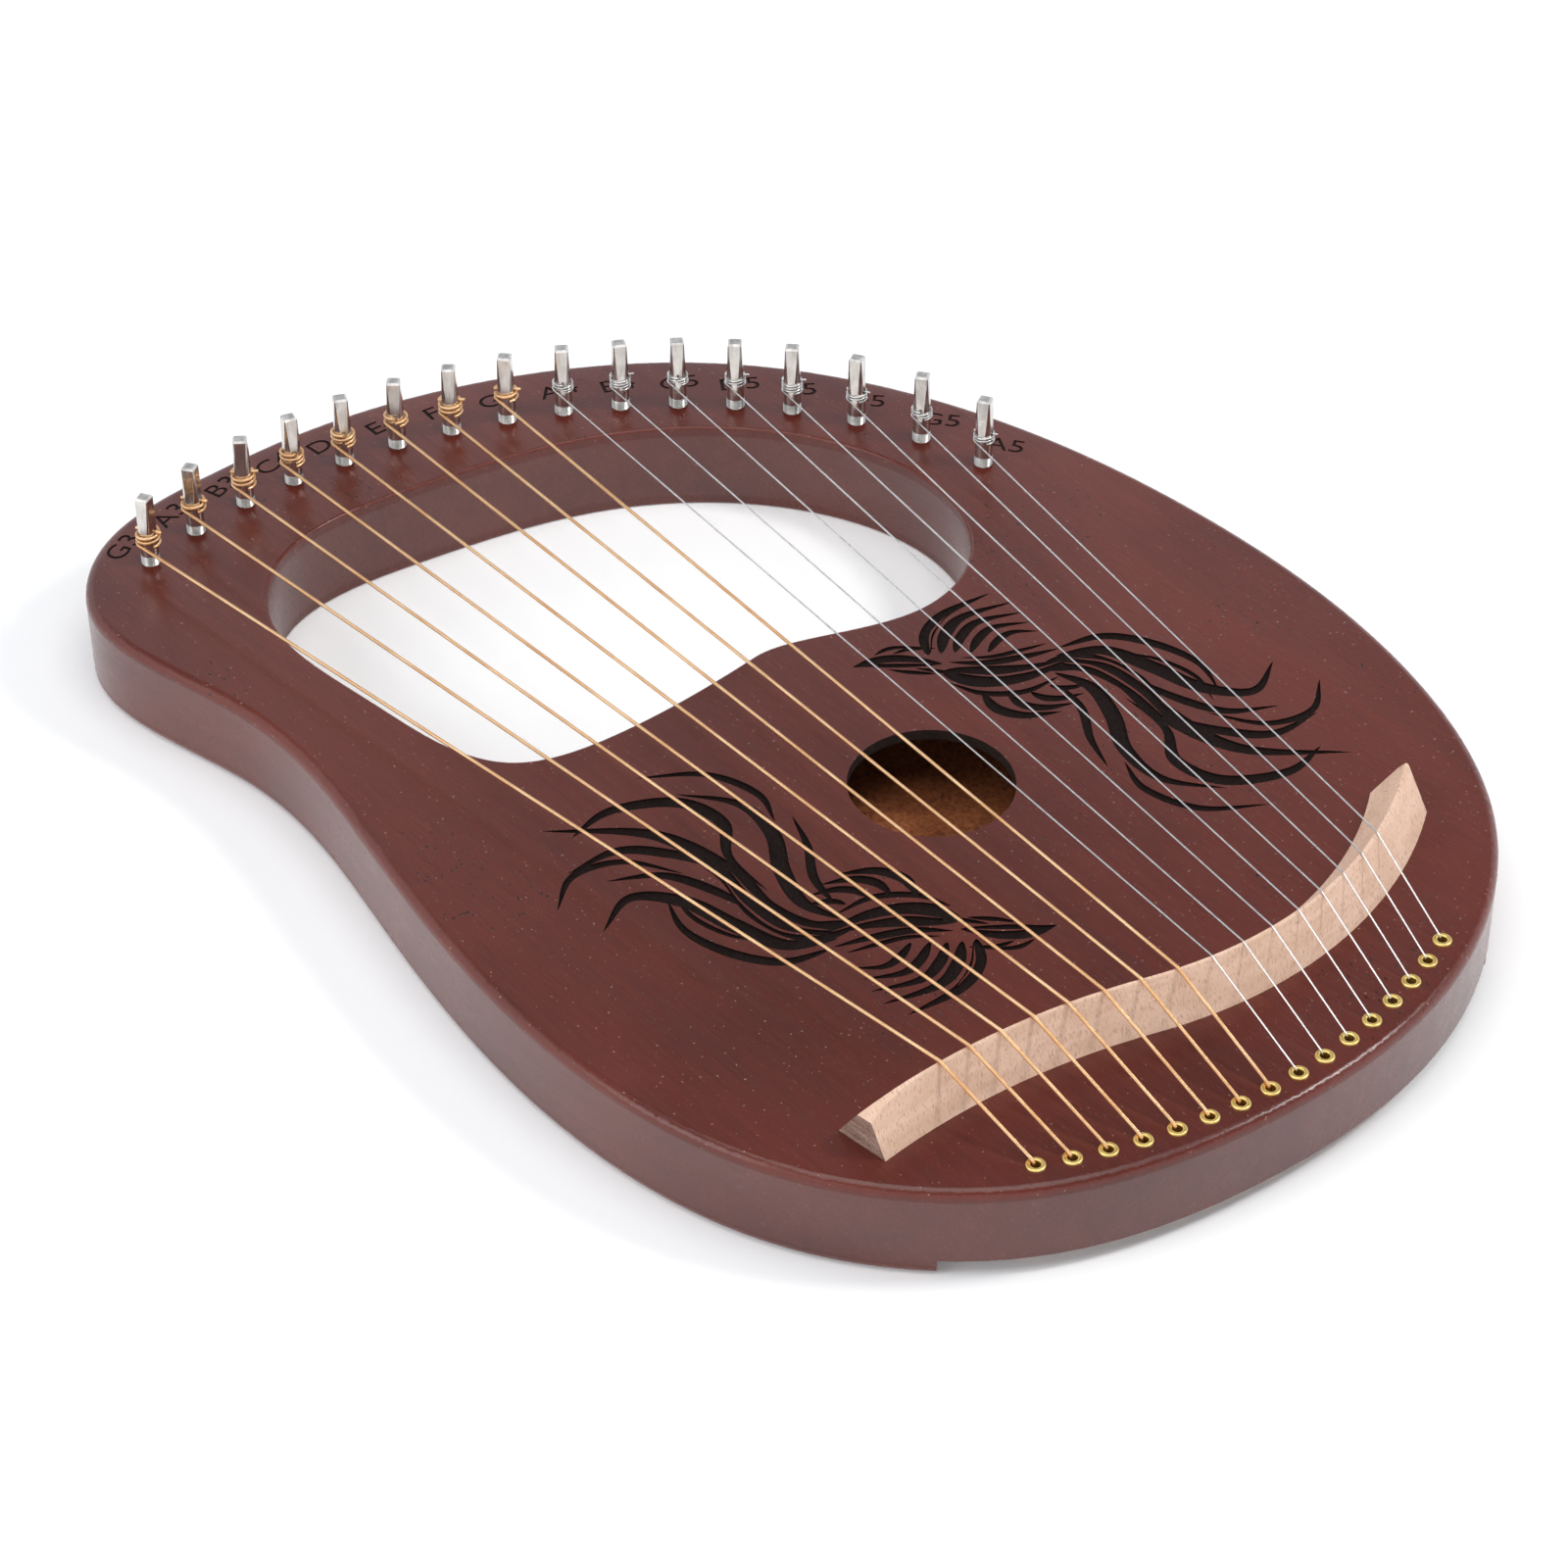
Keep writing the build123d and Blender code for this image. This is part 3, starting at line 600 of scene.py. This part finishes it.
def build_upper_side(board, rim_vertices, flat, sources, sunk):
    """Adds each triangle at its depth, and a wall between neighbours that lie at different depths."""
    slot_at = {0.0: TOP_SLOT, ORNAMENT_DEPTH: CHAR_SLOT, LABEL_DEPTH: SCORCHED_SLOT}
    levels = {}

    def vertex_at(index, depth):
        """The board's own vertex on its rim, or a new one at that depth under the upper face."""
        own = [source for source in sources[index] if source < len(rim_vertices)]
        if own:
            return rim_vertices[own[0]]
        if (index, depth) not in levels:
            x, y = flat[index]
            levels[index, depth] = board.verts.new((x * MM, y * MM, TOP - depth * MM))
        return levels[index, depth]

    sides = {}
    for triangle, depth in sunk:
        face = board.faces.new([vertex_at(i, depth) for i in triangle])
        face.material_index = slot_at[depth]
        for i, start in enumerate(triangle):
            end = triangle[(i + 1) % 3]
            sides.setdefault(frozenset((start, end)), []).append((depth, start, end))
    for meeting in sides.values():
        if len(meeting) == 2 and meeting[0][0] != meeting[1][0]:
            low, start, end = max(meeting)
            corners = [(end, low), (start, low), (start, 0.0), (end, 0.0)]
            wall = board.faces.new([vertex_at(i, depth) for i, depth in corners])
            wall.material_index = slot_at[low]


def paint_sound_hole(board):
    """The bare cut edge shows on the wall of the sound hole."""
    for face in board.faces:
        centre = face.calc_center_median()
        reach = math.hypot(centre.x / MM - SOUND_HOLE[0], centre.y / MM - SOUND_HOLE[1])
        if abs(reach - SOUND_HOLE_RADIUS) < RIM_TOLERANCE and abs(face.normal.z) < FACES_MOSTLY_UP:
            face.material_index = CUT_SLOT


def soundboard():
    """The CAD front board with the ornaments and note names sunk into its upper face."""
    board = bmesh.new()
    board.from_mesh(NODES["front_board"].data)
    bmesh.ops.remove_doubles(board, verts=board.verts, dist=WELD_DISTANCE)
    board.verts.index_update()
    upper, rim, rim_vertices = upper_rim(board)
    rim_edges = [tuple(tuple(vertex.co[:2]) for vertex in edge.verts) for edge in rim]

    ornaments = ornament_shapes(BIRD)
    ridges = ornament_shapes(RIDGES)
    labels = label_shapes()
    points, edges = dividing_lines(rim, rim_vertices, ornaments + ridges + labels)
    flat, _, triangles, sources, _, _ = delaunay_2d_cdt(points, edges, [], 0, SAME_POINT)
    middles = np.array([sum((flat[i] for i in triangle), Vector((0, 0))) / 3 for triangle in triangles])
    on_board = inside(middles, np.array(rim_edges) / MM)
    layers = ((ornaments, ORNAMENT_DEPTH), (ridges, 0.0), (labels, LABEL_DEPTH))
    placed = zip(triangles, sunk_depths(middles, layers), on_board)
    sunk = [(triangle, depth) for triangle, depth, kept in placed if kept]

    bmesh.ops.delete(board, geom=list(upper), context="FACES_ONLY")
    build_upper_side(board, rim_vertices, flat, sources, sunk)
    paint_sound_hole(board)
    bmesh.ops.recalc_face_normals(board, faces=board.faces)
    mesh = bpy.data.meshes.new("soundboard")
    board.to_mesh(mesh)
    board.free()
    # the CAD mesh's own normals don't fit the new faces
    old = mesh.attributes.get("custom_normal")
    if old:
        mesh.attributes.remove(old)
    for material in BOARD_MATERIALS:
        mesh.materials.append(MATERIALS[material])
    mesh.polygons.foreach_set("use_smooth", [True] * len(mesh.polygons))
    mesh.set_sharp_from_angle(angle=SHARP_ANGLE)
    piece = bpy.data.objects.new("soundboard", mesh)
    bpy.context.scene.collection.objects.link(piece)
    shading = piece.modifiers.new("flat faces first", "WEIGHTED_NORMAL")
    shading.keep_sharp = True
    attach(piece, "root")
    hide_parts("front_board")


# ---------------------------------------------------------------- the other parts
def paint_faces(mesh, slot, chosen):
    """Gives the chosen faces of a CAD mesh another of its materials. The main one is in slot 0."""
    for polygon in mesh.polygons:
        if chosen(polygon):
            polygon.material_index = slot


def frame_and_back():
    """The stained frame, the back board, which is bare inside the sound box, and the braces."""
    finish_node("core_frame", "frame")
    back = finish_node("back_board", "back", "inside")
    inner_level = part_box("back_board")[1].z

    def inner(face):
        return face.normal.z > FACES_STRAIGHT_UP and abs(face.center.z - inner_level) < SAME_LEVEL

    paint_faces(back, slot=1, chosen=inner)
    for name in ("brace_upper", "brace_lower"):
        finish_node(name, "spruce")


def bridge():
    """The beech bar, with end grain where it was sawn off."""
    mesh = finish_node("bridge", "beech", "end_grain")
    low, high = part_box("bridge")

    def sawn(face):
        """The two flat end faces, which look along the bar."""
        at_end = face.center.x < low.x + SAWN_END_REACH or face.center.x > high.x - SAWN_END_REACH
        return at_end and abs(face.normal.x) > FACES_ALONG_BAR and abs(face.normal.z) < FACES_SIDEWAYS

    paint_faces(mesh, slot=1, chosen=sawn)


def metal_parts():
    """Brass eyelets and ball ends, nickel pins with a rough crown and a dull thread, and the strings."""
    crown_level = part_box("pin_g3")[1].z - CROWN_DEPTH
    thread_level = TOP + THREAD_HEIGHT

    def crown(face):
        return face.center.z > crown_level and face.normal.z > FACES_MOSTLY_UP

    def thread(face):
        return face.center.z < thread_level

    finish_node("eyelets", "brass")
    finish_node("ball_ends", "brass")
    for notes, finish in ((WOUND_NOTES, "wound"), (PLAIN_NOTES, "plain")):
        for note in notes:
            pin = finish_node(f"pin_{note}", "nickel", "crown", "thread")
            paint_faces(pin, slot=1, chosen=crown)
            paint_faces(pin, slot=2, chosen=thread)
            finish_node(f"winding_{note}", finish)
            finish_node(f"string_{note}", finish)


soundboard()
frame_and_back()
bridge()
metal_parts()


# ---------------------------------------------------------------- floor, light and camera
def floor():
    """A white light table, which glows a little."""
    mesh = bpy.data.meshes.new("floor")
    rim = bmesh.new()
    bmesh.ops.create_circle(rim, cap_ends=True, radius=FLOOR_RADIUS, segments=FLOOR_SIDES)
    rim.to_mesh(mesh)
    rim.free()
    material, tree, shader = new_material(
        "floor", Roughness=0.9, Specular_IOR_Level=0.1, Emission_Strength=FLOOR_GLOW
    )
    grey = stretched_noise(tree, (3, 3, 3), detail=2)
    tree.links.new(ramp(tree, grey, [(0.3, 0.93), (0.7, 0.94)]), shader.inputs["Base Color"])
    mesh.materials.append(material)
    piece = bpy.data.objects.new("floor", mesh)
    bpy.context.scene.collection.objects.link(piece)


def soft_box(name, place, size, power):
    """A rectangular light that looks at the origin."""
    light = bpy.data.lights.new(name, "AREA")
    light.shape = "RECTANGLE"
    light.size, light.size_y = size
    light.energy = power
    lamp = bpy.data.objects.new(name, light)
    lamp.location = place
    lamp.rotation_euler = (-Vector(place)).to_track_quat("-Z", "Y").to_euler()
    bpy.context.scene.collection.objects.link(lamp)


def studio():
    """A white backdrop up to about 35 degrees above the horizon, a dim room over it, and soft boxes."""
    world = bpy.data.worlds.new("studio")
    bpy.context.scene.world = world
    world.use_nodes = True
    tree = world.node_tree
    direction = node(tree, "TexCoord").outputs["Generated"]
    sloping = node(tree, "VectorMath", operation="DOT_PRODUCT")
    tree.links.new(direction, sloping.inputs[0])
    sloping.inputs[1].default_value = BACKDROP_UP
    height = sloping.outputs["Value"]
    cool = [(place, tuple(channel * grey for channel in COOL_WHITE)) for place, grey in SURROUNDINGS]
    glow = ramp(tree, height, cool)
    tree.links.new(glow, tree.nodes["Background"].inputs["Color"])
    tree.nodes["Background"].inputs["Strength"].default_value = 1.0
    for box in SOFT_BOXES:
        soft_box(*box)


def camera():
    """The camera, back from its target along its azimuth and elevation, and rolled about its own axis."""
    data = bpy.data.cameras.new("camera")
    data.lens = CAMERA_LENS
    data.clip_start, data.clip_end = CAMERA_CLIP
    lens = bpy.data.objects.new("camera", data)
    flat = math.cos(CAMERA_ELEVATION)
    east = math.sin(CAMERA_AZIMUTH) * flat
    north = -math.cos(CAMERA_AZIMUTH) * flat
    back = Vector((east, north, math.sin(CAMERA_ELEVATION)))
    lens.location = CAMERA_TARGET + back * CAMERA_DISTANCE
    lens.rotation_mode = "QUATERNION"
    lens.rotation_quaternion = (-back).to_track_quat("-Z", "Y") @ Quaternion((0, 0, 1), CAMERA_ROLL)
    bpy.context.scene.collection.objects.link(lens)
    bpy.context.scene.camera = lens


floor()
studio()
camera()
bpy.context.scene.view_settings.view_transform = "Standard"

bpy.context.view_layer.update()
